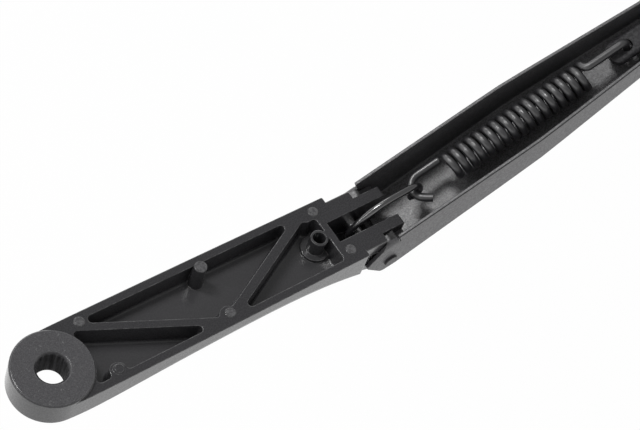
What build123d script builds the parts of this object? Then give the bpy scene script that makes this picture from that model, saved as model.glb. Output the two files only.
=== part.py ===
from build123d import *
import math
import os

os.makedirs("parts", exist_ok=True)

# Spindle boss, its axis on Z, with Z = 0 in the plane of the casting's rim
BORE_R = 5.2
BORE_CHAMFER = 0.9
BORE_BACK_CHAMFER = 0.5
BOSS_R = 14.0
BOSS_BACK = 10.5
BOSS_CORNER = 1.0
PAD_STEP = 1.5
PAD_CHAMFER = 0.5

# Sheet of the channel: the widths of the fork follow it
SHEET = 1.3
CHANNEL_HALF_W = 12.95
EAR_CLEARANCE = 0.2
EAR_COVER = 0.45

# Head casting between the boss and the fork
BODY_END_X = 118.8
BODY_END_HALF_W = CHANNEL_HALF_W + EAR_COVER
BODY_END_BACK = 14.0
BODY_END_CORNER = 1.6
BODY_END_EASE = 0.6
LEFT_SHOULDER_SETBACK = 1.9
MID_X = (26.0, 52.0, 78.0, 98.0, 110.0)
MID_SWELL = (0.23, 0.21, 0.15, 0.05, 0.01)
MID_BACK = (10.4, 10.1, 10.0, 11.0, 12.3)
MID_CORNER = (1.8, 4.0, 4.8, 4.2, 2.8)
RIM_W = 2.6
POCKET_DEPTH = 8.0
POCKET_CORNER = 1.4
POCKET_DRAFT = 4.0
POCKET_FLOOR_EASE = 1.0
POCKET_END_X = 110.0
BOSS_WALL = 0.4

# Ribs of the underside
RIB_A_FROM = (13.0, 10.6)
RIB_A_TO = (60.0, -11.2)
RIB_A_T = 2.7
RIB_B_FROM = (62.0, -11.2)
RIB_B_TO = (107.0, 11.2)
RIB_B_T = 3.2
NODE_PADS = ((17.0, 10.8), (19.0, -10.2), (62.5, -9.6), (107.5, 10.4))
NODE_PAD_R = 3.0
EJECTOR_MARKS = ((17.0, 10.9), (63.4, -9.5), (110.8, 10.0), (114.2, -8.4))
EJECTOR_R = 1.75
EJECTOR_RAISE = 0.25
CORNER_PIN_XY = (19.3, -9.9)
CORNER_PIN_R = 1.6
CORNER_PIN_BASE_R = 2.2
CORNER_PIN_RAISE = 0.7

# Post and tube boss that stand in the pockets
POST_XY = (62.6, 8.6)
POST_BASE_R = 2.7
POST_TOP_R = 2.2
POST_ABOVE_RIM = 3.0
TUBE_XY = (106.9, 0.4)
TUBE_R = 3.1
TUBE_BORE_R = 2.3
TUBE_BORE_DEPTH = 7.0
TUBE_PAD_R = 5.2
TUBE_PAD_T = 1.2

# Fork and hinge
HINGE_X = 132.6
HINGE_DEPTH = 14.6
KNUCKLE_R = 5.2
NECK_HALF_W = CHANNEL_HALF_W - SHEET - EAR_CLEARANCE
TAB_SEAT_W = 3.25
TIP_HALF_W = NECK_HALF_W - TAB_SEAT_W
TIP_ROUND = 0.9
NECK_EASE = 0.8
RELIEF_DEPTH = 4.5
SLOT_X0 = 112.6
SLOT_HALF_W = 4.15
SLOT_START_DEPTH = 8.0
SLOT_FLOOR = 1.7
RIVET_R = 2.0
RIVET_HEAD_R = 2.6
RIVET_HEAD_T = 0.9
RIVET_HEAD_ROUND = 0.3
BUSH_CLEARANCE = 0.05
BUSH_WALL = 0.9
BUSH_FLANGE_R = 4.4
BUSH_FLANGE_T = 0.8
SEAT_CLEARANCE = 0.1

# Anchor pin, placed from the hinge along and across the folded channel
ANCHOR_U = -5.0
ANCHOR_PIN_R = 2.3
ANCHOR_PIN_RECESS = 0.5

# Channel, in its own frame: u along it, v out of its open side, both from the hinge
FOLD_DEG = 23.3
LEAD_LENGTH = 65.0
TAPER_LENGTH = 119.0
CRIMP_LENGTH = 32.0
TAPER_SOFT = 3.5
WEB_SETBACK = 2.0
WEB_V0 = -7.1
WEB_CORNER = 2.0
RIM_V = 14.9
RIM_EASE = 0.4
RIM_DROP_LENGTH = 21.0
TAB_SETBACK = 0.9
TAB_LENGTH = 4.1
TAB_NOTCH = 0.6
TAB_TOP_V = 13.2
TAB_BEND_R = 2.2
LEFT_TAB_SHIFT = 1.5
TAB_TIP_GAP = 0.4
STOP_GAP = 0.25
EAR_LEFT = (-9.4, 6.1)
EAR_LOW = (-4.6, -4.8)
EAR_LEFT_R = 1.4
EAR_LOW_R = 3.0
EAR_BOTTOM_V = -5.5
CRIMP_SEAM = 0.8

# Rod
ROD_W = 9.0
ROD_T = 3.0
ROD_SETBACK = 103.5
ROD_LENGTH = 246.5
ROD_HOLE_INSET = 7.3
ROD_HOLE_R = 2.3
ROD_NOSE_R = 3.6
ROD_EDGE_R = 1.3
CRIMP_GAP = 0.02
HOOK_GAP = 9.0
HOOK_RETURN = 20.0

# Spring line and tension spring
SPRING_V = 9.0
WIRE_R = 1.4
COIL_R = 4.25
COIL_SETBACK = 34.9
COIL_LENGTH = 58.3
COIL_TURNS = 17
COIL_ELBOW_R = 2.2
LOOP_START_DEG = 18.0
LOOP_TURN_DEG = 142.0
LOOP_TAIL = 3.3
FAR_ELBOW_R = 3.0
FAR_TAIL = 2.4

# Spring link
LINK_R = 1.2
LINK_CLEARANCE = 0.15
LINK_EYE_U = 19.5
LINK_TOP_V = 16.5
LINK_RISE_DEG = 32.0
LINK_RISE_R = 20.0
LINK_DROP_R = 5.4
LINK_EYE_STRAIGHT = 0.2
LINK_ANCHOR_WRAP = 95.0
LINK_EYE_WRAP = 130.0

TAPER_U0 = LEAD_LENGTH
TAPER_U1 = LEAD_LENGTH + TAPER_LENGTH
CHANNEL_END_U = TAPER_U1 + CRIMP_LENGTH
WEB_U0 = WEB_SETBACK
RIM_DROP_U = TAPER_U1 - RIM_DROP_LENGTH
TAB_U0 = TAB_SETBACK
TAB_U1 = TAB_SETBACK + TAB_LENGTH
LIP_U = TAB_U1 + TAB_NOTCH
TAB_SIDES = ((-1, 0.0), (1, LEFT_TAB_SHIFT))
ROD_START_U = ROD_SETBACK
ROD_END_U = ROD_SETBACK + ROD_LENGTH
ROD_HOLE_U = ROD_SETBACK + ROD_HOLE_INSET
COIL_U0 = COIL_SETBACK
HINGE_Z = -HINGE_DEPTH
FOLD = math.radians(FOLD_DEG)
CU = math.cos(FOLD)
SU = math.sin(FOLD)


def fold(shape):
    """Place a shape made in the channel's frame at its folded position."""
    return Pos(HINGE_X, 0, HINGE_Z) * Rot(0, -FOLD_DEG, 0) * shape


def head_xz(u, v):
    """Head-frame x and z of a point given in the channel's frame."""
    return HINGE_X + u * CU - v * SU, HINGE_Z + u * SU + v * CU


def plate(points, y_low, y_high):
    """A prism of an outline in X and Z, between two values of Y."""
    face = Plane.XZ * make_face(Polyline(*points, close=True))
    return Pos(0, y_high, 0) * extrude(face, y_high - y_low)


def rod_y(x, z, r, y_low, y_high):
    """A cylinder along Y."""
    disc = Plane.XZ * (Pos(x, z) * Circle(r))
    return Pos(0, y_high, 0) * extrude(disc, y_high - y_low)


def trough_face(x, half_w, top, bottom, corner):
    """A section across X with the two lower corners rounded."""
    k = corner * (1 - math.sqrt(0.5))
    outline = [
        Line((-half_w, top), (half_w, top)),
        Line((half_w, top), (half_w, bottom + corner)),
        ThreePointArc((half_w, bottom + corner), (half_w - k, bottom + k), (half_w - corner, bottom)),
        Line((half_w - corner, bottom), (-half_w + corner, bottom)),
        ThreePointArc((-half_w + corner, bottom), (-half_w + k, bottom + k), (-half_w, bottom + corner)),
        Line((-half_w, bottom + corner), (-half_w, top)),
    ]
    where = Plane(origin=(x, 0, 0), x_dir=(0, 1, 0), z_dir=(1, 0, 0))
    return where * make_face(outline)


def bar(start, end, width):
    """A straight strip in plan between two points."""
    dx = end[0] - start[0]
    dy = end[1] - start[1]
    length = math.hypot(dx, dy)
    middle = Pos((start[0] + end[0]) / 2, (start[1] + end[1]) / 2)
    return middle * Rot(0, 0, math.degrees(math.atan2(dy, dx))) * Rectangle(length + width, width)


def tangent_low(px, pz, r):
    """The point where a line from (px, pz) touches the lower side of a circle on the hinge axis."""
    dx = px - HINGE_X
    dz = pz - HINGE_Z
    dist = math.hypot(dx, dz)
    turn = math.atan2(dz, dx) + math.acos(r / dist)
    return HINGE_X + r * math.cos(turn), HINGE_Z + r * math.sin(turn), turn


def arc_points(cx, cz, r, a_from, a_to, n):
    """Points on an arc, angles in radians."""
    steps = [a_from + (a_to - a_from) * i / n for i in range(n + 1)]
    return [(cx + r * math.cos(a), cz + r * math.sin(a)) for a in steps]


def pipe(path, r):
    """A round wire along a path."""
    return sweep(Plane(path @ 0, z_dir=path % 0) * Circle(r), path=path)


# Head casting
stations = [(0.0, BOSS_R, BOSS_BACK, BOSS_CORNER)]
for x, swell, back, corner in zip(MID_X, MID_SWELL, MID_BACK, MID_CORNER):
    half_w = BOSS_R + (BODY_END_HALF_W - BOSS_R) * x / BODY_END_X + swell
    stations.append((x, half_w, back, corner))
stations += [(BODY_END_X, BODY_END_HALF_W, BODY_END_BACK, BODY_END_CORNER)]
body = loft([trough_face(x, w, 0.0, -b, c) for x, w, b, c in stations])
step_w = BODY_END_HALF_W - NECK_HALF_W + 1.0
body -= Pos(BODY_END_X, NECK_HALF_W - 0.5 + step_w / 2, -BODY_END_BACK / 2) * Box(
    LEFT_SHOULDER_SETBACK * 2, step_w, BODY_END_BACK + 2.0
)
end_edges = [
    e for e in body.edges()
    if abs(e.tangent_at(0.5).Z) > 0.9
    and abs(e.center().Y) > NECK_HALF_W + 0.5
    and e.center().X > BODY_END_X - LEFT_SHOULDER_SETBACK - 0.1
]
body = fillet(end_edges, BODY_END_EASE)

boss = Pos(0, 0, -BOSS_BACK) * Cylinder(BOSS_R, BOSS_BACK + PAD_STEP, align=(Align.CENTER, Align.CENTER, Align.MIN))
boss = fillet(boss.edges().group_by(Axis.Z)[0], BOSS_CORNER)
boss = chamfer(boss.edges().group_by(Axis.Z)[-1], PAD_CHAMFER)

neck_x0 = BODY_END_X - 4.0
neck_z0 = -(BODY_END_BACK - 1.4)
tip_x = HINGE_X + KNUCKLE_R
low_x, low_z, low_turn = tangent_low(neck_x0, neck_z0, KNUCKLE_R)
outline = [(neck_x0, 0.0)]
outline += arc_points(tip_x - TIP_ROUND, -TIP_ROUND, TIP_ROUND, math.pi / 2, 0.0, 6)
outline += arc_points(HINGE_X, HINGE_Z, KNUCKLE_R, 0.0, low_turn - 2 * math.pi if low_turn > 0 else low_turn, 16)
outline += [(neck_x0, neck_z0)]
neck = plate(outline, -NECK_HALF_W, NECK_HALF_W)
neck_edges = [
    e for e in neck.edges()
    if abs(abs(e.center().Y) - NECK_HALF_W) < 0.01 and abs(e.center().Z) < 0.01 and e.length > TIP_ROUND
]
neck = fillet(neck_edges, NECK_EASE)

head = body + boss + neck

for side, shift in TAB_SIDES:
    shoulder_x = head_xz(TAB_U0 - shift, TAB_TOP_V)[0] - STOP_GAP
    relief_len = tip_x + 1.0 - shoulder_x
    mid_y = side * (TIP_HALF_W + NECK_HALF_W + 1.0) / 2
    relief = Box(relief_len, NECK_HALF_W + 1.0 - TIP_HALF_W, RELIEF_DEPTH + 1.0)
    head -= Pos(shoulder_x + relief_len / 2, mid_y, (1.0 - RELIEF_DEPTH) / 2) * relief

slot_r = KNUCKLE_R - SLOT_FLOOR
floor_x, floor_z, floor_turn = tangent_low(neck_x0, neck_z0 + SLOT_FLOOR, slot_r)
floor_end = floor_turn - 2 * math.pi if floor_turn > 0 else floor_turn
slot = [(SLOT_X0, 2.0), (tip_x + 2.0, 2.0), (tip_x + 2.0, HINGE_Z - slot_r * math.sin(0.3))]
slot += arc_points(HINGE_X, HINGE_Z, slot_r, -0.3, floor_end, 14)
slot += [(neck_x0, neck_z0 + SLOT_FLOOR), (SLOT_X0, -SLOT_START_DEPTH)]
head -= plate(slot, -SLOT_HALF_W, SLOT_HALF_W)

inner_w0 = BOSS_R - RIM_W + 0.1
inner_w1 = BODY_END_HALF_W - RIM_W
pocket_plan = make_face(
    Polyline((0, inner_w0), (POCKET_END_X, inner_w1), (POCKET_END_X, -inner_w1), (0, -inner_w0), close=True)
)
pocket_plan -= Circle(BOSS_R + BOSS_WALL)
pocket_plan -= bar(RIB_A_FROM, RIB_A_TO, RIB_A_T)
pocket_plan -= bar(RIB_B_FROM, RIB_B_TO, RIB_B_T)
for x, y in NODE_PADS:
    pocket_plan -= Pos(x, y) * Circle(NODE_PAD_R)
for face in pocket_plan.faces():
    if face.area > 40.0:
        eased = offset(offset(face, -POCKET_CORNER, kind=Kind.ARC), POCKET_CORNER, kind=Kind.ARC)
        pocket = extrude(eased, POCKET_DEPTH, dir=(0, 0, -1), taper=POCKET_DRAFT)
        head -= fillet(pocket.edges().group_by(Axis.Z)[0], POCKET_FLOOR_EASE)

post = Pos(POST_XY[0], POST_XY[1], -POCKET_DEPTH - 0.5) * Cone(
    POST_BASE_R, POST_TOP_R, POCKET_DEPTH + 0.5 + POST_ABOVE_RIM, align=(Align.CENTER, Align.CENTER, Align.MIN)
)
head += post
head += Pos(TUBE_XY[0], TUBE_XY[1], -POCKET_DEPTH - 0.5) * Cylinder(
    TUBE_R, POCKET_DEPTH + 0.5, align=(Align.CENTER, Align.CENTER, Align.MIN)
)
head += Pos(TUBE_XY[0], TUBE_XY[1], -POCKET_DEPTH - 0.5) * Cylinder(
    TUBE_PAD_R, TUBE_PAD_T + 0.5, align=(Align.CENTER, Align.CENTER, Align.MIN)
)
head += Pos((TUBE_XY[0] + POCKET_END_X) / 2 + 0.5, TUBE_XY[1], -POCKET_DEPTH / 2 - 0.25) * Box(
    POCKET_END_X - TUBE_XY[0] + 1.0, TUBE_R, POCKET_DEPTH + 0.5
)
head -= Pos(TUBE_XY[0], TUBE_XY[1], 0.0) * Cylinder(
    TUBE_BORE_R, TUBE_BORE_DEPTH, align=(Align.CENTER, Align.CENTER, Align.MAX)
)
for x, y in EJECTOR_MARKS:
    head += Pos(x, y, -0.5) * Cylinder(EJECTOR_R, 0.5 + EJECTOR_RAISE, align=(Align.CENTER, Align.CENTER, Align.MIN))
head += Pos(CORNER_PIN_XY[0], CORNER_PIN_XY[1], -0.5) * Cone(
    CORNER_PIN_BASE_R, CORNER_PIN_R, 0.5 + CORNER_PIN_RAISE, align=(Align.CENTER, Align.CENTER, Align.MIN)
)

bore_len = BOSS_BACK + PAD_STEP
head -= Pos(0, 0, -BOSS_BACK) * Cylinder(BORE_R, bore_len, align=(Align.CENTER, Align.CENTER, Align.MIN))
head -= Pos(0, 0, PAD_STEP - BORE_CHAMFER) * Cone(
    BORE_R, BORE_R + BORE_CHAMFER, BORE_CHAMFER, align=(Align.CENTER, Align.CENTER, Align.MIN)
)
head -= Pos(0, 0, -BOSS_BACK) * Cone(
    BORE_R + BORE_BACK_CHAMFER, BORE_R, BORE_BACK_CHAMFER, align=(Align.CENTER, Align.CENTER, Align.MIN)
)

anchor_x, anchor_z = head_xz(ANCHOR_U, SPRING_V)
bush_r = RIVET_R + BUSH_CLEARANCE + BUSH_WALL
wide = NECK_HALF_W + 1.0
head -= rod_y(HINGE_X, HINGE_Z, bush_r, -wide, wide)
for side in (-1, 1):
    y_seat = side * (NECK_HALF_W - BUSH_FLANGE_T)
    y_out = side * wide
    head -= rod_y(HINGE_X, HINGE_Z, BUSH_FLANGE_R + SEAT_CLEARANCE, min(y_seat, y_out), max(y_seat, y_out))
head -= rod_y(anchor_x, anchor_z, ANCHOR_PIN_R, -wide, wide)

# Anchor pin and bushes
pin_half = NECK_HALF_W - ANCHOR_PIN_RECESS
anchor_pin = rod_y(anchor_x, anchor_z, ANCHOR_PIN_R, -pin_half, pin_half)


def hinge_bush(side):
    """Flanged bush in one prong: side is +1 or -1."""
    y_in = side * SLOT_HALF_W
    y_flange = side * (NECK_HALF_W - BUSH_FLANGE_T)
    y_face = side * NECK_HALF_W
    sleeve = rod_y(HINGE_X, HINGE_Z, bush_r, min(y_in, y_face), max(y_in, y_face))
    flange = rod_y(HINGE_X, HINGE_Z, BUSH_FLANGE_R, min(y_flange, y_face), max(y_flange, y_face))
    return sleeve + flange - rod_y(HINGE_X, HINGE_Z, RIVET_R + BUSH_CLEARANCE, -wide, wide)


bush_left = hinge_bush(1)
bush_right = hinge_bush(-1)

# Channel
crimp_half = ROD_W / 2 + CRIMP_GAP + SHEET
rod_low_v = SPRING_V - ROD_T / 2
rod_top_v = SPRING_V + ROD_T / 2
crimp_top_v = rod_top_v + SHEET


def ramp(u, soft):
    """Eased share of the taper at u, from 0 before it to 1 after it."""
    def soft_max(a):
        return max(a, 0.0) + soft / 2 * math.log1p(math.exp(-abs(2 * a / soft)))
    return (soft_max(u - TAPER_U0) - soft_max(u - TAPER_U1)) / (TAPER_U1 - TAPER_U0)


def channel_half(u):
    return CHANNEL_HALF_W + (crimp_half - CHANNEL_HALF_W) * ramp(u, TAPER_SOFT)


def web_v(u):
    share = min(max((u - WEB_U0) / (TAPER_U1 - WEB_U0), 0.0), 1.0)
    return WEB_V0 + (rod_low_v - SHEET - WEB_V0) * share


cut_u = [WEB_U0 + (TAPER_U0 - WEB_U0) * share for share in (0.0, 0.33, 0.62, 0.8)]
cut_u += [TAPER_U0 + TAPER_LENGTH * share for share in (0.0, 0.085, 0.18, 0.33, 0.56, 0.79, 0.915)]
cut_u += [TAPER_U1 + CRIMP_LENGTH * share for share in (0.0, 0.25, 1.0)]
high = RIM_V + 6.0
corner_in = WEB_CORNER - SHEET
outer = loft([trough_face(u, channel_half(u), high, web_v(u), WEB_CORNER) for u in cut_u], ruled=True)
cut_in = [(u, channel_half(u) - SHEET, web_v(u) + SHEET) for u in cut_u]
cut_in[0] = (WEB_U0 - 1.0, cut_in[0][1], cut_in[0][2])
cut_in[-1] = (CHANNEL_END_U + 1.0, cut_in[-1][1], cut_in[-1][2])
inner = loft([trough_face(u, w, high + 1.0, v, corner_in) for u, w, v in cut_in], ruled=True)
channel = outer - inner

for side, shift in TAB_SIDES:
    lip_u = LIP_U - shift
    trim = [(-40.0, TAB_TOP_V), (lip_u, TAB_TOP_V), (lip_u, RIM_V), (RIM_DROP_U, RIM_V)]
    trim += [(TAPER_U1, crimp_top_v), (CHANNEL_END_U + 5.0, crimp_top_v)]
    trim += [(CHANNEL_END_U + 5.0, high + 5.0), (-40.0, high + 5.0)]
    reach = side * (CHANNEL_HALF_W + 5.0)
    channel -= plate(trim, min(0.0, reach), max(0.0, reach))
rim_edges = [
    e for e in channel.edges()
    if abs(e.center().Z - RIM_V) < 0.01 and abs(e.center().Y) > CHANNEL_HALF_W / 4 and e.length > SHEET * 2
]
channel = fillet(rim_edges, RIM_EASE)

ear_in = LIP_U + 3.0
ear_low = WEB_V0 + WEB_CORNER + 0.3
for side, shift in TAB_SIDES:
    ear_plan = make_face(
        Polyline(
            (TAB_U0 - shift, TAB_TOP_V), EAR_LEFT, EAR_LOW, (WEB_U0, EAR_BOTTOM_V), (WEB_U0, ear_low),
            (ear_in, ear_low + 0.6), (ear_in, TAB_TOP_V), close=True,
        )
    )
    left_corner = ear_plan.vertices().sort_by(Axis.X)[0]
    ear_plan = fillet(left_corner, EAR_LEFT_R)
    low_corner = ear_plan.vertices().sort_by_distance(Vector(EAR_LOW[0], EAR_LOW[1], 0))[0]
    ear_plan = fillet(low_corner, EAR_LOW_R)
    ear_face = CHANNEL_HALF_W if side > 0 else -CHANNEL_HALF_W + SHEET
    channel += Pos(0, ear_face, 0) * extrude(Plane.XZ * ear_plan, SHEET)

tab_tip = TIP_HALF_W + TAB_TIP_GAP
for side, shift in TAB_SIDES:
    tab_w = CHANNEL_HALF_W - tab_tip
    tab = Pos((TAB_U0 + TAB_U1) / 2 - shift, side * (tab_tip + tab_w / 2), TAB_TOP_V - SHEET / 2) * Box(
        TAB_U1 - TAB_U0, tab_w, SHEET
    )
    channel += tab
    bend_v = TAB_TOP_V - TAB_BEND_R
    bend_y = CHANNEL_HALF_W - TAB_BEND_R
    bend_k = TAB_BEND_R * math.sqrt(0.5)
    corner = make_face([
        ThreePointArc(
            (side * bend_y, TAB_TOP_V), (side * (bend_y + bend_k), bend_v + bend_k), (side * CHANNEL_HALF_W, bend_v)
        ),
        Line((side * CHANNEL_HALF_W, bend_v), (side * (CHANNEL_HALF_W + 1.0), bend_v)),
        Line((side * (CHANNEL_HALF_W + 1.0), bend_v), (side * (CHANNEL_HALF_W + 1.0), TAB_TOP_V + 1.0)),
        Line((side * (CHANNEL_HALF_W + 1.0), TAB_TOP_V + 1.0), (side * bend_y, TAB_TOP_V + 1.0)),
        Line((side * bend_y, TAB_TOP_V + 1.0), (side * bend_y, TAB_TOP_V)),
    ])
    bend_start = Plane(origin=(TAB_U0 - shift - TAB_BEND_R, 0, 0), x_dir=(0, 1, 0), z_dir=(1, 0, 0))
    bend_cut = (bend_start * corner).faces()[0]
    channel -= extrude(bend_cut, TAB_U1 - TAB_U0 + TAB_BEND_R, dir=(1, 0, 0))
    channel -= Pos((TAB_U1 + LIP_U) / 2 - shift, side * (CHANNEL_HALF_W - SHEET / 2), TAB_TOP_V) * Box(
        TAB_NOTCH, SHEET * 2, TAB_BEND_R * 2
    )
    lip_w = ROD_W / 2 + SHEET / 2 - CRIMP_SEAM / 2
    lip_len = CHANNEL_END_U - TAPER_U1
    channel += Pos(TAPER_U1 + lip_len / 2, side * (CRIMP_SEAM / 2 + lip_w / 2), rod_top_v + SHEET / 2) * Box(
        lip_len, lip_w, SHEET
    )
rivet_hole = rod_y(0, 0, RIVET_R, -CHANNEL_HALF_W - 1.0, CHANNEL_HALF_W + 1.0)
channel -= rivet_hole

# Hinge rivet
rivet_half = CHANNEL_HALF_W + RIVET_HEAD_T
rivet = rod_y(0, 0, RIVET_R, -rivet_half, rivet_half)
rivet_head = fillet(
    rod_y(0, 0, RIVET_HEAD_R, CHANNEL_HALF_W, rivet_half).edges().group_by(Axis.Y)[-1], RIVET_HEAD_ROUND
)
rivet += rivet_head
rivet += mirror(rivet_head, Plane.XZ)

# Rod
turn_r = HOOK_GAP / 2 + ROD_T / 2
turn_v = SPRING_V + turn_r
far_v = SPRING_V + 2 * turn_r
rod_end = Plane(origin=(ROD_START_U, 0, SPRING_V), x_dir=(0, 1, 0), z_dir=(1, 0, 0))
rod_bend = Plane(origin=(ROD_END_U, 0, SPRING_V), x_dir=(0, 1, 0), z_dir=(1, 0, 0))
rod_tail = Plane(origin=(ROD_END_U, 0, far_v), x_dir=(0, 1, 0), z_dir=(-1, 0, 0))
rod_section = RectangleRounded(ROD_W, ROD_T, ROD_EDGE_R)
rod_len = ROD_END_U - ROD_START_U
nose_plan = Pos(ROD_START_U + rod_len, 0) * RectangleRounded(rod_len * 2, ROD_W + 0.01, ROD_NOSE_R)
rod = extrude(rod_end * rod_section, rod_len) & (Pos(0, 0, SPRING_V - ROD_T) * extrude(nose_plan, ROD_T * 2))
rod += revolve(rod_bend * rod_section, Axis((ROD_END_U, 0, turn_v), (0, -1, 0)), 180)
rod += extrude(rod_tail * rod_section, HOOK_RETURN)
rod -= Pos(ROD_HOLE_U, 0, SPRING_V) * Cylinder(ROD_HOLE_R, ROD_T + 2.0)

# Tension spring: helix, loop in the channel's plane at the near end, hook through the rod at the far end
start_turn = math.radians(LOOP_START_DEG)
end_turn = math.atan2(COIL_R, COIL_ELBOW_R)
turns = COIL_TURNS + (end_turn - start_turn) / (2 * math.pi)
coil_len = COIL_LENGTH
coil_plane = Plane(
    origin=(COIL_U0, 0, SPRING_V), x_dir=(0, math.cos(start_turn), math.sin(start_turn)), z_dir=(1, 0, 0)
)
coil_path = coil_plane * Helix(coil_len / turns, coil_len, COIL_R)
coil = sweep(Plane(coil_path @ 0, z_dir=coil_path % 0) * Circle(WIRE_R), path=coil_path, is_frenet=True)


def elbow(point, along, towards, r):
    """Arc from a point with a heading to another heading: the arc and its end."""
    t = Vector(*along).normalized()
    w = Vector(*towards).normalized()
    side = (w - t * t.dot(w)).normalized()
    centre = point + side * r
    angle = math.acos(max(-1.0, min(1.0, t.dot(w))))
    half = centre - side * (r * math.cos(angle / 2)) + t * (r * math.sin(angle / 2))
    end = centre - side * (r * math.cos(angle)) + t * (r * math.sin(angle))
    return ThreePointArc(point, half, end), end


near_head = coil_path @ 0
near_dir = (coil_path % 0) * -1
near_arc, near_end = elbow(near_head, tuple(near_dir), (-1, 0, 0), COIL_ELBOW_R)
loop_r = near_end.Y
loop_u = LINK_EYE_U + loop_r
loop_v = near_end.Z
loop_end = math.pi / 2 + math.radians(LOOP_TURN_DEG)
tail_from = Vector(loop_u + loop_r * math.cos(loop_end), loop_r * math.sin(loop_end), loop_v)
tail_to = tail_from + Vector(-math.sin(loop_end), math.cos(loop_end), 0) * LOOP_TAIL
near_path = Wire([
    near_arc,
    Line(near_end, (loop_u, loop_r, loop_v)),
    ThreePointArc((loop_u, loop_r, loop_v), (LINK_EYE_U, 0, loop_v), tail_from),
    Line(tail_from, tail_to),
])
far_head = coil_path @ 1
far_arc, far_end = elbow(far_head, tuple(coil_path % 1), (1, 0, 0), COIL_ELBOW_R)
far_bend_u = ROD_HOLE_U - FAR_ELBOW_R
far_bend = Vector(far_bend_u, far_end.Y, far_end.Z)
far_elbow, far_down = elbow(far_bend, (1, 0, 0), (0, 0, -1), FAR_ELBOW_R)
far_path = Wire([
    far_arc,
    Line(far_end, far_bend),
    far_elbow,
    Line(far_down, (far_down.X, far_down.Y, rod_low_v - FAR_TAIL)),
])
spring = coil + pipe(near_path, WIRE_R) + pipe(far_path, WIRE_R)

# Spring link: wraps the anchor pin, arches over the hinge and carries the spring's loop
wrap_r = ANCHOR_PIN_R + LINK_CLEARANCE + LINK_R
eye_r = WIRE_R + LINK_CLEARANCE + LINK_R
rise = math.radians(LINK_RISE_DEG)
leave = math.pi / 2 + rise
tip = leave + math.radians(LINK_ANCHOR_WRAP)


def at(cu, cv, r, a):
    return (cu + r * math.cos(a), 0, cv + r * math.sin(a))


p_tip = at(ANCHOR_U, SPRING_V, wrap_r, tip)
p_mid = at(ANCHOR_U, SPRING_V, wrap_r, (leave + tip) / 2)
p_off = at(ANCHOR_U, SPRING_V, wrap_r, leave)
rise_len = (LINK_TOP_V - LINK_RISE_R * (1 - math.cos(rise)) - p_off[2]) / math.sin(rise)
p_rise = (p_off[0] + rise_len * math.cos(rise), 0, p_off[2] + rise_len * math.sin(rise))
arch_u = p_rise[0] + LINK_RISE_R * math.sin(rise)
arch_v = LINK_TOP_V - LINK_RISE_R
drop_u = LINK_EYE_U + eye_r - LINK_DROP_R
drop_v = loop_v + LINK_EYE_STRAIGHT
apart = math.hypot(drop_u - arch_u, drop_v - arch_v)
fall = math.asin((LINK_RISE_R - LINK_DROP_R) / apart) - math.atan2(drop_v - arch_v, drop_u - arch_u)
crest = math.pi / 2 - fall
p_arch = at(arch_u, arch_v, LINK_RISE_R, (leave + crest) / 2)
p_top = at(arch_u, arch_v, LINK_RISE_R, crest)
p_turn = at(drop_u, drop_v, LINK_DROP_R, crest)
p_down = at(drop_u, drop_v, LINK_DROP_R, crest / 2)
p_drop = (LINK_EYE_U + eye_r, 0, drop_v)
p_eye = (LINK_EYE_U + eye_r, 0, loop_v)
eye_end = -math.radians(LINK_EYE_WRAP)
p_under = at(LINK_EYE_U, loop_v, eye_r, eye_end / 2)
p_last = at(LINK_EYE_U, loop_v, eye_r, eye_end)
link_path = Wire([
    ThreePointArc(p_tip, p_mid, p_off),
    Line(p_off, p_rise),
    ThreePointArc(p_rise, p_arch, p_top),
    Line(p_top, p_turn),
    ThreePointArc(p_turn, p_down, p_drop),
    Line(p_drop, p_eye),
    ThreePointArc(p_eye, p_under, p_last),
])
link = pipe(link_path, LINK_R)

NODES = {
    "head_casting": head,
    "hinge_bush_left": bush_left,
    "hinge_bush_right": bush_right,
    "anchor_pin": anchor_pin,
    "channel": fold(channel),
    "hinge_rivet": fold(rivet),
    "arm_rod": fold(rod),
    "tension_spring": fold(spring),
    "spring_link": fold(link),
}

for name, shape in NODES.items():
    solids = shape.solids()
    print(name, "solids", len(solids), "volume", round(sum(s.volume for s in solids), 1))
    export_step(shape, f"parts/{name}.step")
print("hinge", HINGE_X, HINGE_Z, "anchor", round(anchor_x, 3), round(anchor_z, 3), "loop v", round(loop_v, 3))
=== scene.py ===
import math

import bmesh
import bpy
from mathutils import Matrix, Vector


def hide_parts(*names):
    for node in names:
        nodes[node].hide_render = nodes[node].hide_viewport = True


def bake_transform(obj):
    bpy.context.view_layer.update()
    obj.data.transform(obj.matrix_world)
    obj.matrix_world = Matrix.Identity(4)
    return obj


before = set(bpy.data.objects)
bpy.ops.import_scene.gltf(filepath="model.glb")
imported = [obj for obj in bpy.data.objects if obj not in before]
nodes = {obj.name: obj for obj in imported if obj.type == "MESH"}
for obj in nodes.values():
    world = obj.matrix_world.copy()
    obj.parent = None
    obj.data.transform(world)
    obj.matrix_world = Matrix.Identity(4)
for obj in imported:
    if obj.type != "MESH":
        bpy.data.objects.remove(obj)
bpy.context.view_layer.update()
scene = bpy.context.scene
scene.view_settings.view_transform = "Standard"

# Hinge of the channel on the head, and the channel's slope as photographed
HINGE = Vector((0.1326, 0.0, -0.0146))
FOLD = math.radians(23.3)
CHANNEL_RUN = Vector((math.cos(FOLD), 0.0, math.sin(FOLD)))
CHANNEL_OUT = Vector((-math.sin(FOLD), 0.0, math.cos(FOLD)))
LENGTHWISE = Vector((1.0, 0.0, 0.0))
UP = Vector((0.0, 0.0, 1.0))


def channel_point(u, y, v):
    """A point in metres from millimetres along, across and out of the folded channel."""
    return HINGE + CHANNEL_RUN * (u / 1000) + Vector((0.0, y / 1000, 0.0)) + CHANNEL_OUT * (v / 1000)


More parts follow.
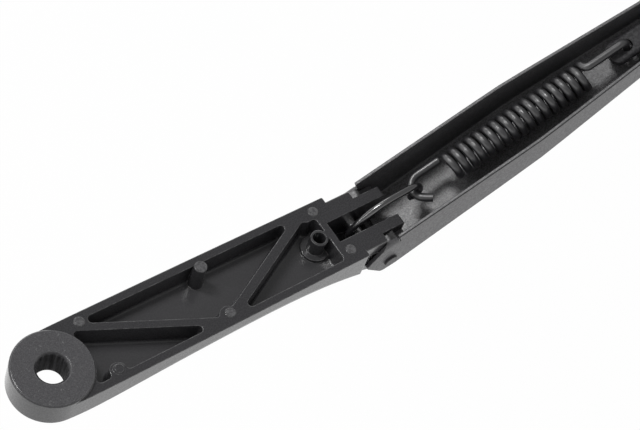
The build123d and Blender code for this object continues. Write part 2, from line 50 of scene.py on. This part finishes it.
# Places on the channel, in metres along its run and out of its open side
RIM = CHANNEL_OUT.dot(channel_point(0.0, 0.0, 14.9))
CUT_EDGE = (RIM - 0.00046, RIM - 0.00004)
TAB_FACES = (RIM - 0.00304, RIM - 0.00104)
TROUGH_TOP = RIM - 0.00604
TAB_MIDDLE = CHANNEL_RUN.dot(channel_point(2.2, 0.0, 0.0))
TROUGH_NEAR = TAB_MIDDLE + 0.012
TROUGH_FAR = TAB_MIDDLE + 0.095

# Places on the head, in metres: the raised pad round the bore, the pocket floors and the bore's mouth
PAD_FACE = 0.0015
PAD_END = 0.018
POCKET_FLOORS = -0.0035
BORE_MOUTH = 0.00545
# Rounds that rub bright on the head: x, y, radius and height of the flat
EJECTOR_ROUNDS = (
    (0.017, 0.0109, 0.0017, 0.0),
    (0.0634, -0.0095, 0.0017, 0.0),
    (0.1108, 0.01, 0.0017, 0.0),
    (0.1142, -0.0084, 0.0017, 0.0),
    (0.0626, 0.0086, 0.0021, 0.003),
)

# Grain of the sprayed coats and of the wires, in lumps for each metre
HEAD_GRAIN = 1900.0
SHEET_GRAIN = 1500.0
ROD_GRAIN = 1100.0
RIVET_GRAIN = 2400.0
SPRING_GRAIN = 900.0
LINK_GRAIN = 700.0


# Materials
class Finish:
    """A principled material whose nodes are added one by one."""

    def __init__(self, name, roughness, metallic=0.0, ior=1.5):
        self.material = bpy.data.materials.new(name)
        self.material.use_nodes = True
        self.tree = self.material.node_tree
        self.shader = self.tree.nodes["Principled BSDF"]
        self.shader.inputs["Roughness"].default_value = roughness
        self.shader.inputs["Metallic"].default_value = metallic
        self.shader.inputs["IOR"].default_value = ior
        self.coords = self.tree.nodes.new("ShaderNodeTexCoord").outputs["Object"]

    def link(self, out, into):
        self.tree.links.new(out, into)

    def set(self, socket, value):
        self.link(value, self.shader.inputs[socket])

    def noise(self, scale, detail=2.0, rough=0.5, coords=None):
        node = self.tree.nodes.new("ShaderNodeTexNoise")
        node.inputs["Scale"].default_value = scale
        node.inputs["Detail"].default_value = detail
        node.inputs["Roughness"].default_value = rough
        self.link(coords or self.coords, node.inputs["Vector"])
        return node.outputs["Fac"]

    def stretched(self, turn, scale):
        """Object coordinates turned and scaled, for grain that runs one way."""
        node = self.tree.nodes.new("ShaderNodeMapping")
        node.inputs["Rotation"].default_value = turn
        node.inputs["Scale"].default_value = scale
        self.link(self.coords, node.inputs["Vector"])
        return node.outputs["Vector"]

    def spread(self, value, low, high, to_low=0.0, to_high=1.0):
        """A value carried from one range to another, held at both ends."""
        node = self.tree.nodes.new("ShaderNodeMapRange")
        node.inputs["From Min"].default_value = low
        node.inputs["From Max"].default_value = high
        node.inputs["To Min"].default_value = to_low
        node.inputs["To Max"].default_value = to_high
        self.link(value, node.inputs["Value"])
        return node.outputs["Result"]

    def blend(self, share, first, second):
        """One colour where the share is 0 and the other where it is 1."""
        node = self.tree.nodes.new("ShaderNodeMix")
        node.data_type = "RGBA"
        self.link(share, node.inputs["Factor"])
        for colour, socket in ((first, node.inputs[6]), (second, node.inputs[7])):
            if isinstance(colour, tuple):
                socket.default_value = (*colour, 1.0)
            else:
                self.link(colour, socket)
        return node.outputs[2]

    def mingle(self, share, first, second):
        """One value where the share is 0 and the other where it is 1."""
        node = self.tree.nodes.new("ShaderNodeMix")
        self.link(share, node.inputs["Factor"])
        self.link(first, node.inputs[2])
        self.link(second, node.inputs[3])
        return node.outputs[0]

    def product(self, first, second):
        node = self.tree.nodes.new("ShaderNodeMath")
        node.operation = "MULTIPLY"
        self.link(first, node.inputs[0])
        self.link(second, node.inputs[1])
        return node.outputs[0]

    def dot(self, vector, direction):
        node = self.tree.nodes.new("ShaderNodeVectorMath")
        node.operation = "DOT_PRODUCT"
        node.inputs[1].default_value = direction
        self.link(vector, node.inputs[0])
        return node.outputs["Value"]

    def along(self, direction):
        """Distance from the origin along one direction, in metres."""
        return self.dot(self.coords, direction)

    def facing(self, direction):
        """A mask that is 1 on flats that face one way."""
        face = self.tree.nodes.new("ShaderNodeNewGeometry")
        return self.spread(self.dot(face.outputs["Normal"], direction), 0.9, 0.97)

    def band(self, value, low, high, soft):
        """A mask that is 1 between two places."""
        return self.product(self.spread(value, low, low + soft), self.spread(value, high, high - soft))

    def disc(self, x, y, radius, soft=0.0002):
        """A mask that is 1 inside an upright round of the head."""
        level = self.tree.nodes.new("ShaderNodeMapping")
        level.inputs["Location"].default_value = (-x, -y, 0.0)
        level.inputs["Scale"].default_value = (1.0, 1.0, 0.0)
        self.link(self.coords, level.inputs["Vector"])
        reach = self.tree.nodes.new("ShaderNodeVectorMath")
        reach.operation = "LENGTH"
        self.link(level.outputs["Vector"], reach.inputs[0])
        return self.spread(reach.outputs["Value"], radius + soft, radius - soft)

    def edges(self, radius):
        """Normal with the sharp edges rounded, and a mask that is 1 on those edges."""
        rounded = self.tree.nodes.new("ShaderNodeBevel")
        rounded.samples = 6
        rounded.inputs["Radius"].default_value = radius
        flat = self.tree.nodes.new("ShaderNodeNewGeometry")
        turn = self.tree.nodes.new("ShaderNodeVectorMath")
        turn.operation = "DOT_PRODUCT"
        self.link(rounded.outputs["Normal"], turn.inputs[0])
        self.link(flat.outputs["Normal"], turn.inputs[1])
        return rounded.outputs["Normal"], self.spread(turn.outputs["Value"], 0.995, 0.85)

    def bump(self, height, strength, distance, normal=None):
        node = self.tree.nodes.new("ShaderNodeBump")
        node.inputs["Strength"].default_value = strength
        node.inputs["Distance"].default_value = distance
        self.link(height, node.inputs["Height"])
        if normal is not None:
            self.link(normal, node.inputs["Normal"])
        return node.outputs["Normal"]


class SprayedCoat(Finish):
    """Sprayed coat: fine speckle, soft mottling, orange peel and edges that can be rubbed paler, partly
    wear and partly a painted edge highlight.
    """

    def __init__(self, name, dark, light, roughness, grain, peel, edge, ior):
        super().__init__(name, roughness, ior=ior)
        speckle = self.noise(grain, 3.0, 0.6)
        mottle = self.noise(70.0, 4.0, 0.55)
        rounded, edge_rub_and_highlight = self.edges(edge)
        scuff = self.spread(self.noise(420.0, 4.0, 0.7), 0.42, 0.62, 0.15, 1.0)
        # Edge mask for a paler colour: partly rubbed wear, partly a painted edge highlight
        self.rubbed_and_highlit_edges = self.product(edge_rub_and_highlight, scuff)
        base = self.blend(self.spread(speckle, 0.44, 0.58), dark, light)
        self.colour = self.blend(self.spread(mottle, 0.35, 0.7, 0.0, 0.25), base, light)
        self.dullness = self.spread(speckle, 0.4, 0.6, roughness + 0.05, roughness - 0.05)
        fine = self.bump(speckle, peel, 0.00012, rounded)
        self.skin = self.bump(self.noise(grain * 0.28, 2.0, 0.5), peel * 0.6, 0.0002, fine)

    def paint(self, mask, colour):
        self.colour = self.blend(mask, self.colour, colour)

    def dull(self, mask, times):
        self.dullness = self.product(self.dullness, self.spread(mask, 0.0, 1.0, 1.0, times))

    def done(self):
        self.set("Base Color", self.colour)
        self.set("Roughness", self.dullness)
        self.set("Normal", self.skin)
        return self.material


def head_coat():
    """Lacquered coat of the head, with a paler pad and pocket floors, rubbed rounds, a dark bore, and
    edges painted paler as wear and as a painted edge highlight.
    """
    coat = SprayedCoat(
        "cast_black", dark=(0.021, 0.0206, 0.0226), light=(0.034, 0.0334, 0.036),
        roughness=0.42, grain=HEAD_GRAIN, peel=0.25, edge=0.0006, ior=1.2
    )
    pale_wear_and_highlight = (0.15, 0.15, 0.152)
    coat.shader.inputs["Coat Roughness"].default_value = 0.14
    coat.shader.inputs["Coat IOR"].default_value = 1.46
    height = coat.along(UP)

    pad = coat.product(
        coat.spread(height, PAD_FACE - 0.0004, PAD_FACE - 0.0001),
        coat.spread(coat.along(LENGTHWISE), PAD_END + 0.002, PAD_END - 0.002)
    )
    pad_speckle = coat.spread(coat.noise(HEAD_GRAIN * 1.5, 2.0, 0.5), 0.38, 0.66)
    pad_colour = coat.blend(pad_speckle, (0.048, 0.0473, 0.0505), (0.08, 0.0787, 0.083))
    flecks = coat.spread(coat.noise(HEAD_GRAIN * 0.55, 2.0, 0.55), 0.66, 0.72, 0.0, 0.6)
    coat.paint(pad, coat.blend(flecks, pad_colour, pale_wear_and_highlight))

    deep = coat.spread(height, POCKET_FLOORS + 0.0005, POCKET_FLOORS - 0.0005, 0.0, 0.5)
    coat.paint(coat.product(deep, coat.facing(UP)), (0.064, 0.063, 0.066))

    scratches = coat.spread(coat.noise(1400.0, 3.0, 0.6), 0.38, 0.62)
    bright = coat.blend(scratches, (0.05, 0.0495, 0.052), (0.1, 0.099, 0.102))
    for x, y, radius, level in EJECTOR_ROUNDS:
        top = coat.spread(height, level - 0.0009, level - 0.0007)
        coat.paint(coat.product(coat.disc(x, y, radius), top), bright)

    bore = coat.disc(0.0, 0.0, BORE_MOUTH)
    streaks = coat.noise(900.0, 3.0, 0.6, coat.stretched((0.0, 0.0, 0.0), (1.0, 1.0, 0.05)))
    seat = coat.blend(coat.spread(streaks, 0.4, 0.62), (0.012, 0.0118, 0.0128), (0.058, 0.057, 0.06))
    coat.paint(bore, seat)
    coat.dull(bore, 1.8)
    coat.set("Coat Weight", coat.spread(bore, 0.0, 1.0, 1.0, 0.0))
    coat.set("Coat Normal", coat.skin)

    # Edges painted paler: partly rubbed wear, partly a painted edge highlight
    coat.paint(coat.rubbed_and_highlit_edges, pale_wear_and_highlight)
    return coat.done()


def sheet_coat():
    """Coat of the channel, with cut edges painted dark as thin coat and painted shade, a gritty trough,
    stop tabs half dulled and painted dark as painted shade, and edges painted paler as wear and painted
    edge highlight.
    """
    coat = SprayedCoat(
        "sheet_black", dark=(0.043, 0.0422, 0.045), light=(0.066, 0.0648, 0.069),
        roughness=0.44, grain=SHEET_GRAIN, peel=0.4, edge=0.0004, ior=1.72
    )
    shade = (0.006, 0.0059, 0.0064)
    out = coat.along(CHANNEL_OUT)
    run = coat.along(CHANNEL_RUN)
    flats = coat.facing(CHANNEL_OUT)
    # Edges painted paler: partly rubbed wear, partly a painted edge highlight
    coat.paint(coat.rubbed_and_highlit_edges, (0.14, 0.14, 0.14))

    # Cut edges painted dark: partly a thinner coat, partly painted shade
    cut_edge = coat.band(out, *CUT_EDGE, 0.00006)
    coat.paint(cut_edge, shade)
    coat.dull(cut_edge, 2.0)

    trough = coat.product(flats, coat.spread(out, TROUGH_TOP, TROUGH_TOP - 0.0002))
    grit = coat.spread(coat.noise(SHEET_GRAIN * 1.2, 2.0, 0.6), 0.4, 0.6)
    coat.paint(trough, coat.blend(grit, (0.024, 0.0236, 0.025), (0.094, 0.0922, 0.098)))
    worn_smooth = coat.spread(run, TROUGH_NEAR, TROUGH_FAR, 0.92, 1.1)
    coat.dullness = coat.mingle(trough, coat.dullness, coat.product(coat.dullness, worn_smooth))

    tabs = coat.product(coat.band(out, *TAB_FACES, 0.0002), flats)
    # The rear half of each stop tab painted dark: painted shade where the tab catches no highlight
    tab_rear_painted_shade = coat.product(tabs, coat.spread(run, TAB_MIDDLE, TAB_MIDDLE + 0.0008))
    coat.paint(tab_rear_painted_shade, shade)
    coat.dull(tab_rear_painted_shade, 1.8)
    return coat.done()


def rod_coat():
    """Thicker, duller coat of the rod."""
    coat = SprayedCoat(
        "rod_black", dark=(0.014, 0.0137, 0.0152), light=(0.032, 0.0314, 0.034),
        roughness=0.5, grain=ROD_GRAIN, peel=0.6, edge=0.0004, ior=1.35
    )
    # Edges painted paler: partly rubbed wear, partly a painted edge highlight
    coat.paint(coat.rubbed_and_highlit_edges, (0.09, 0.09, 0.09))
    return coat.done()


def rivet_coat():
    """Thin coat of the rivet, rubbed at its heads, the rubbed edges painted paler as wear and as a
    painted edge highlight.
    """
    coat = SprayedCoat(
        "rivet_black", dark=(0.016, 0.0157, 0.0172), light=(0.036, 0.0353, 0.038),
        roughness=0.38, grain=RIVET_GRAIN, peel=0.3, edge=0.0002, ior=1.5
    )
    # Edges painted paler: partly rubbed wear, partly a painted edge highlight
    coat.paint(coat.rubbed_and_highlit_edges, (0.12, 0.12, 0.12))
    return coat.done()


def drawn_wire(name, dark, light, roughness, grain, stretch, relief, ior):
    """Coated wire with the faint lines that drawing leaves, stretched along the channel's own axes."""
    wire = Finish(name, roughness, ior=ior)
    lines = wire.noise(grain, 3.0, 0.55, wire.stretched((0.0, FOLD, 0.0), stretch))
    mottle = wire.noise(160.0, 4.0, 0.6)
    base = wire.blend(wire.spread(lines, 0.35, 0.68), dark, light)
    wire.set("Base Color", wire.blend(wire.spread(mottle, 0.4, 0.72, 0.0, 0.5), base, dark))
    wire.set("Roughness", wire.spread(mottle, 0.3, 0.7, roughness * 0.8, roughness * 1.25))
    fine = wire.bump(lines, relief, 0.00006)
    wire.set("Normal", wire.bump(wire.noise(1500.0, 2.0, 0.5), relief * 0.5, 0.00006, fine))
    return wire.material


def plated_steel(name, dark, light, roughness):
    """Plated pin steel with fine turned lines."""
    steel = Finish(name, roughness, metallic=1.0)
    lines = steel.noise(3000.0, 2.0, 0.5, steel.stretched((0.0, 0.0, 0.0), (1.0, 0.08, 1.0)))
    cloud = steel.noise(260.0, 4.0, 0.6)
    rounded, edge_rub_and_highlight = steel.edges(0.0003)
    base = steel.blend(steel.spread(cloud, 0.35, 0.7), dark, light)
    # Edges painted toward the light colour: partly rubbed wear, partly a painted edge highlight
    steel.set("Base Color", steel.blend(edge_rub_and_highlight, base, light))
    steel.set("Roughness", steel.spread(lines, 0.3, 0.7, roughness - 0.08, roughness + 0.1))
    steel.set("Normal", steel.bump(lines, 0.15, 0.00005, rounded))
    return steel.material


def moulded(name, dark, light, roughness):
    """Moulded bush plastic with a fine eroded grain."""
    plastic = Finish(name, roughness)
    grain = plastic.noise(3800.0, 3.0, 0.6)
    cloud = plastic.noise(300.0, 3.0, 0.5)
    rounded = plastic.edges(0.0002)[0]
    base = plastic.blend(plastic.spread(cloud, 0.35, 0.7), dark, light)
    plastic.set("Base Color", plastic.blend(plastic.spread(grain, 0.4, 0.75, 0.0, 0.4), base, light))
    plastic.set("Roughness", plastic.spread(grain, 0.3, 0.7, roughness - 0.05, roughness + 0.08))
    plastic.set("Normal", plastic.bump(grain, 0.2, 0.00006, rounded))
    return plastic.material


spring_steel = drawn_wire(
    "spring_steel", dark=(0.008, 0.0078, 0.0092), light=(0.024, 0.0235, 0.026),
    roughness=0.38, grain=SPRING_GRAIN, stretch=(2.5, 0.35, 0.35), relief=0.25, ior=2.0
)
link_black = drawn_wire(
    "link_black", dark=(0.008, 0.0078, 0.009), light=(0.022, 0.0214, 0.023),
    roughness=0.2, grain=LINK_GRAIN, stretch=(0.12, 3.0, 2.0), relief=0.12, ior=2.2
)
pin_steel = plated_steel("pin_steel", dark=(0.3, 0.3, 0.305), light=(0.5, 0.5, 0.505), roughness=0.26)
bush_plastic = moulded("bush_plastic", dark=(0.1, 0.1, 0.098), light=(0.16, 0.16, 0.155), roughness=0.5)

FINISHES = {
    "head_casting": head_coat(),
    "hinge_bush_left": bush_plastic,
    "hinge_bush_right": bush_plastic,
    "anchor_pin": pin_steel,
    "channel": sheet_coat(),
    "hinge_rivet": rivet_coat(),
    "arm_rod": rod_coat(),
    "spring_link": link_black,
}


def dress(piece, material):
    piece.data.materials.clear()
    piece.data.materials.append(material)


for name, material in FINISHES.items():
    dress(nodes[name], material)

# Thickness of the spring's coat, the distance that joins its loose corners, and the bend that stays sharp
COAT_BUILD = 0.00007
WELD = 0.000002
SHARP_BEND = math.radians(50)


def coil_spring():
    """The spring as one closed skin between the link and the rod."""
    shape = bmesh.new()
    shape.from_mesh(nodes["tension_spring"].data)
    bmesh.ops.remove_doubles(shape, verts=shape.verts, dist=WELD)
    shape.normal_update()
    for point in shape.verts:
        point.co += point.normal * COAT_BUILD
    for face in shape.faces:
        face.smooth = True
    for edge in shape.edges:
        edge.smooth = edge.calc_face_angle(0.0) < SHARP_BEND
    mesh = bpy.data.meshes.new("coil_spring")
    shape.to_mesh(mesh)
    shape.free()
    piece = bpy.data.objects.new("coil_spring", mesh)
    scene.collection.objects.link(piece)
    dress(piece, spring_steel)
    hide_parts("tension_spring")
    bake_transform(piece)


coil_spring()

# Floor, world, lamps and camera; the floor lies below the arm's end when the arm is lifted off the screen
FLOOR_CENTRE = (0.15, 0.0, -0.3)
FLOOR_HALF_WIDTH = 6.0
FLOOR_WHITE = 0.94
ROOM_LIGHT = 0.62
CEILING_TONE = 0.34
CEILING_RISE = (0.12, 0.62)
# The point that the lamps are turned to
MIDDLE = Vector((0.16, 0.0, 0.01))


def shown_and_lit(tree, lighting, backdrop, share):
    """What lights the object, mixed with what the camera and reflections see behind it."""
    path = tree.nodes.new("ShaderNodeLightPath")
    seen = path.outputs["Is Camera Ray"]
    for kind in ("Is Glossy Ray", "Is Transmission Ray"):
        either = tree.nodes.new("ShaderNodeMath")
        either.operation = "MAXIMUM"
        tree.links.new(seen, either.inputs[0])
        tree.links.new(path.outputs[kind], either.inputs[1])
        seen = either.outputs[0]
    part = tree.nodes.new("ShaderNodeMath")
    part.operation = "MULTIPLY"
    part.inputs[1].default_value = share
    tree.links.new(seen, part.inputs[0])
    mix = tree.nodes.new("ShaderNodeMixShader")
    tree.links.new(part.outputs[0], mix.inputs["Fac"])
    tree.links.new(lighting.outputs[0], mix.inputs[1])
    tree.links.new(backdrop.outputs[0], mix.inputs[2])
    return mix.outputs[0]


def floor_white():
    """White floor that keeps a faint shadow."""
    material = bpy.data.materials.new("floor_white")
    material.use_nodes = True
    tree = material.node_tree
    tree.nodes.clear()
    paper = tree.nodes.new("ShaderNodeBsdfDiffuse")
    paper.inputs["Color"].default_value = (0.9, 0.9, 0.9, 1.0)
    white = tree.nodes.new("ShaderNodeEmission")
    white.inputs["Strength"].default_value = 1.0
    out = tree.nodes.new("ShaderNodeOutputMaterial")
    tree.links.new(shown_and_lit(tree, paper, white, FLOOR_WHITE), out.inputs["Surface"])
    return material


def lay_floor():
    shape = bmesh.new()
    bmesh.ops.create_grid(shape, x_segments=1, y_segments=1, size=FLOOR_HALF_WIDTH)
    bmesh.ops.translate(shape, verts=shape.verts, vec=FLOOR_CENTRE)
    mesh = bpy.data.meshes.new("floor")
    shape.to_mesh(mesh)
    shape.free()
    floor = bpy.data.objects.new("floor", mesh)
    scene.collection.objects.link(floor)
    dress(floor, floor_white())


def light_room():
    """Even room light, with a white backdrop that darkens towards the ceiling."""
    world = bpy.data.worlds.new("studio")
    scene.world = world
    world.use_nodes = True
    tree = world.node_tree
    tree.nodes.clear()
    room = tree.nodes.new("ShaderNodeBackground")
    room.inputs["Color"].default_value = (1.0, 1.0, 1.0, 1.0)
    room.inputs["Strength"].default_value = ROOM_LIGHT
    backdrop = tree.nodes.new("ShaderNodeBackground")
    backdrop.inputs["Strength"].default_value = 1.0
    upward = tree.nodes.new("ShaderNodeTexCoord")
    height = tree.nodes.new("ShaderNodeSeparateXYZ")
    tree.links.new(upward.outputs["Generated"], height.inputs[0])
    ceiling = tree.nodes.new("ShaderNodeMapRange")
    ceiling.interpolation_type = "SMOOTHSTEP"
    ceiling.inputs["From Min"].default_value = CEILING_RISE[0]
    ceiling.inputs["From Max"].default_value = CEILING_RISE[1]
    ceiling.inputs["To Min"].default_value = 1.0
    ceiling.inputs["To Max"].default_value = CEILING_TONE
    tree.links.new(height.outputs["Z"], ceiling.inputs["Value"])
    tree.links.new(ceiling.outputs["Result"], backdrop.inputs["Color"])
    out = tree.nodes.new("ShaderNodeOutputWorld")
    tree.links.new(shown_and_lit(tree, room, backdrop, 1.0), out.inputs["Surface"])


def lamp(name, direction, distance, power, width, height):
    """A soft rectangular lamp turned to the middle of the arm."""
    data = bpy.data.lights.new(name, "AREA")
    data.shape = "RECTANGLE"
    data.size = width
    data.size_y = height
    data.energy = power
    lit = bpy.data.objects.new(name, data)
    lit.location = MIDDLE + Vector(direction) * distance
    lit.rotation_euler = (MIDDLE - lit.location).to_track_quat("-Z", "Y").to_euler()
    scene.collection.objects.link(lit)


def place_camera():
    """The camera, fitted to the photographed boss, rim and fork."""
    data = bpy.data.cameras.new("camera")
    data.sensor_fit = "HORIZONTAL"
    data.sensor_width = 36.0
    data.lens = 128.7
    data.clip_start = 0.01
    data.clip_end = 50.0
    camera = bpy.data.objects.new("camera", data)
    scene.collection.objects.link(camera)
    camera.matrix_world = Matrix((
        (0.8011966, 0.3870700, -0.4563560, -0.24553),
        (-0.5552670, 0.7651854, -0.3258371, -0.24760),
        (0.2230752, 0.5144590, 0.8279912, 0.64920),
        (0.0, 0.0, 0.0, 1.0),
    ))
    scene.camera = camera


lay_floor()
light_room()
lamp("key", (-0.34, 0.4, 0.85), distance=1.8, power=12.5, width=0.24, height=0.5)
lamp("far", (0.03, 0.9, 0.42), distance=1.7, power=2.4, width=0.6, height=0.3)
lamp("left", (-0.77, 0.3, 0.565), distance=1.6, power=3.0, width=0.1, height=0.9)
place_camera()
